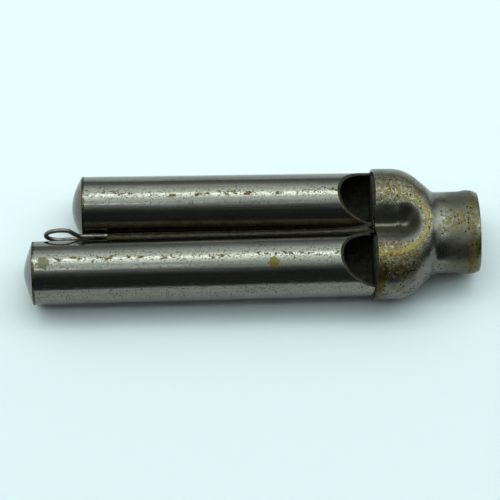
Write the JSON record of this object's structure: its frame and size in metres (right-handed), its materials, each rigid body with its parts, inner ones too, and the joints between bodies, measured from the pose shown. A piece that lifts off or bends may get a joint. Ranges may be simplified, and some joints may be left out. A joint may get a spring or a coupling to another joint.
{
  "type": "double-barrel whistle",
  "caption": "Call whistle with two closed tubes of unequal length side by side, a pressed mouthpiece head, D-shaped windows and a wire lanyard loop.",
  "frame": {"origin": "on the plane that the lowest point of the shoulder touches, under the centre of the object's box", "axes": "+X along the tubes towards the mouth, +Y towards the short tube, +Z out of the side with the windows"},
  "size_m": [0.0916, 0.0278, 0.0149],
  "materials": {
    "nickel_plate": "nickel plate, satin, pitted and lightly tarnished",
    "worn_plate": "nickel plate worn through to brass on the raised parts",
    "bare_brass": "dull, darkened brass",
    "loop_wire": "drawn wire, darkened plate",
    "solder": "dull soft solder, slightly lumpy"
  },
  "bodies": {
    "root": {"long_tube": "nickel_plate", "short_tube": "nickel_plate", "long_tube_end_cap": "nickel_plate", "short_tube_end_cap": "nickel_plate", "long_tube_fipple_plug": "bare_brass", "short_tube_fipple_plug": "bare_brass", "mouthpiece_head": "worn_plate", "lanyard_loop": "loop_wire", "loop_solder": "solder", "window_side_seam": "solder", "underside_seam": "solder", "long_collar_solder": "solder", "short_collar_solder": "solder"}
  },
  "joints": []
}
